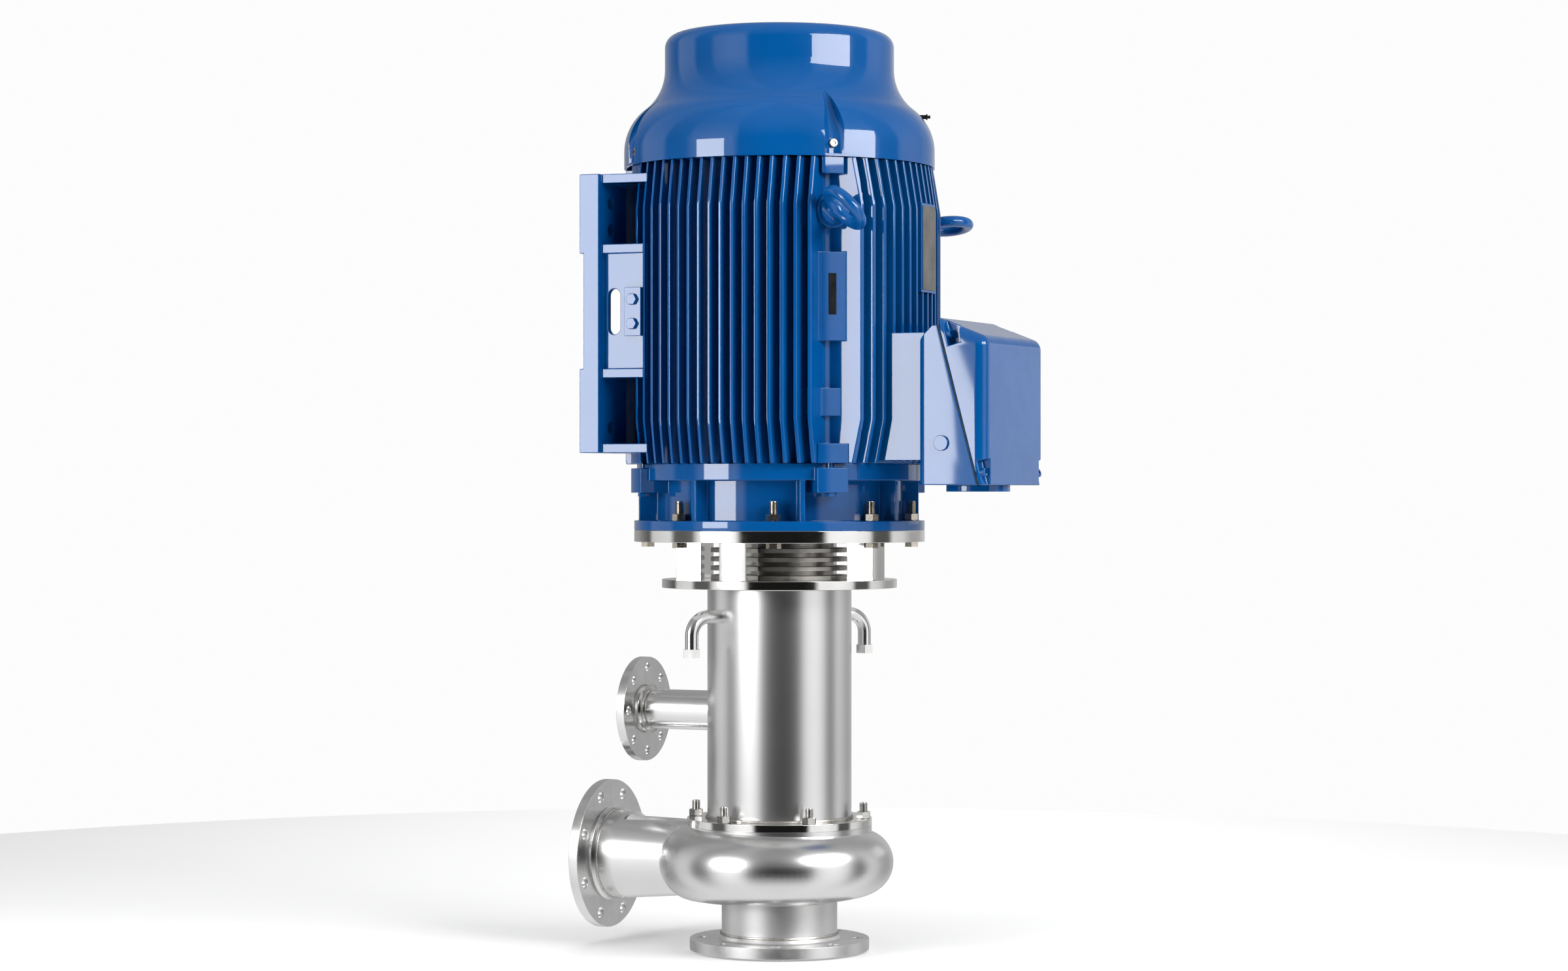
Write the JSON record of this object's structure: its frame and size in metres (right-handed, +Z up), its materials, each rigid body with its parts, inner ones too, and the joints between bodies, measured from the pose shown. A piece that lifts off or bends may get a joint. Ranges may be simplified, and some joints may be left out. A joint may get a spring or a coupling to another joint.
{
  "type": "sealless centrifugal pump",
  "caption": "Vertical sealless centrifugal pump: stainless volute and column, open lantern, and a finned flange motor with feet, terminal box and bell-shaped fan cover.",
  "frame": {"origin": "centre of the suction flange's bottom face", "axes": "+Z up the shaft, towards the fan cover; -X along the discharge nozzle; +X towards the terminal box"},
  "size_m": [0.858, 0.61, 1.732],
  "materials": {
    "motor_paint": "gloss blue enamel on cast iron",
    "polished_steel": "satin polished stainless steel",
    "machined_steel": "turned stainless steel",
    "grey_iron": "machined grey iron",
    "fasteners": "bright stainless fasteners",
    "bearing_steel": "ground bearing steel",
    "shaft_steel": "ground stainless steel",
    "core_sheet": "stacked electrical sheet",
    "copper_winding": "varnished copper winding",
    "cast_aluminium": "cast aluminium",
    "gasket": "black sealing sheet",
    "moulded_plastic": "black moulding",
    "plate_steel": "brushed plate",
    "dark_plate": "dark"
  },
  "bodies": {
    "housing": {"air_inlet_grille": "motor_paint", "bearing_housing": "grey_iron", "bearing_housing_cover": "grey_iron", "branch_flange": "polished_steel", "branch_pipe": "polished_steel", "cable_entry_plate": "motor_paint", "casing_cover": "machined_steel", "casing_gasket": "gasket", "casing_nuts": "fasteners", "casing_studs": "fasteners", "column_lower_flange": "polished_steel", "column_pipe": "polished_steel", "discharge_flange": "polished_steel", "discharge_nozzle": "polished_steel", "drive_end_shield": "motor_paint", "earth_terminal": "motor_paint", "fan_cover": "motor_paint", "fan_cover_screws": "fasteners", "gas_pipe_unions": "machined_steel", "gas_pipes": "polished_steel", "grease_nipple": "dark_plate", "lantern_plate": "machined_steel", "lantern_posts": "machined_steel", "lantern_ring": "machined_steel", "lid_gasket": "gasket", "lid_screws": "motor_paint", "lifting_eyebolts": "motor_paint", "motor_bearing_caps": "grey_iron", "motor_bearing_outer_rings": "bearing_steel", "motor_bolts": "fasteners", "motor_frame": "motor_paint", "motor_nuts": "fasteners", "motor_screws": "fasteners", "nameplate": "plate_steel", "pump_bearing_outer_ring": "bearing_steel", "rear_end_shield": "motor_paint", "side_plug": "motor_paint", "small_plate": "dark_plate", "stator_core": "core_sheet", "stator_windings": "copper_winding", "suction_flange": "polished_steel", "suction_pipe": "polished_steel", "suction_wear_ring": "shaft_steel", "terminal_board": "moulded_plastic", "terminal_box": "motor_paint", "terminal_box_lid": "motor_paint", "volute_casing": "polished_steel"},
    "rotor": {"motor_shaft": "shaft_steel", "rotor_core": "core_sheet", "rotor_end_rings": "cast_aluminium", "cooling_fan": "moulded_plastic", "pump_shaft": "shaft_steel", "shaft_keys": "shaft_steel", "impeller": "shaft_steel", "impeller_nut": "shaft_steel", "motor_bearing_inner_rings": "bearing_steel", "pump_bearing_inner_ring": "bearing_steel"},
    "drive_end_roller_set": {"drive_end_rollers": "bearing_steel"},
    "rear_end_roller_set": {"rear_end_rollers": "bearing_steel"},
    "pump_roller_set": {"pump_rollers": "bearing_steel"}
  },
  "joints": [
    {"name": "shaft_spin", "type": "hinge", "parent": "housing", "child": "rotor", "pos_m": [0, 0, 0.168], "axis": [0, 0, 1], "continuous": true},
    {"name": "drive_end_roller_orbit", "type": "hinge", "parent": "housing", "child": "drive_end_roller_set", "pos_m": [0, 0, 0.8475], "axis": [0, 0, 1], "continuous": true},
    {"name": "rear_end_roller_orbit", "type": "hinge", "parent": "housing", "child": "rear_end_roller_set", "pos_m": [0, 0, 1.5055], "axis": [0, 0, 1], "continuous": true},
    {"name": "pump_roller_orbit", "type": "hinge", "parent": "housing", "child": "pump_roller_set", "pos_m": [0, 0, 0.745], "axis": [0, 0, 1], "continuous": true}
  ],
  "couplings": [
    {"joint": "drive_end_roller_orbit", "follows": "shaft_spin", "ratio": 0.408},
    {"joint": "rear_end_roller_orbit", "follows": "shaft_spin", "ratio": 0.408},
    {"joint": "pump_roller_orbit", "follows": "shaft_spin", "ratio": 0.4429}
  ]
}
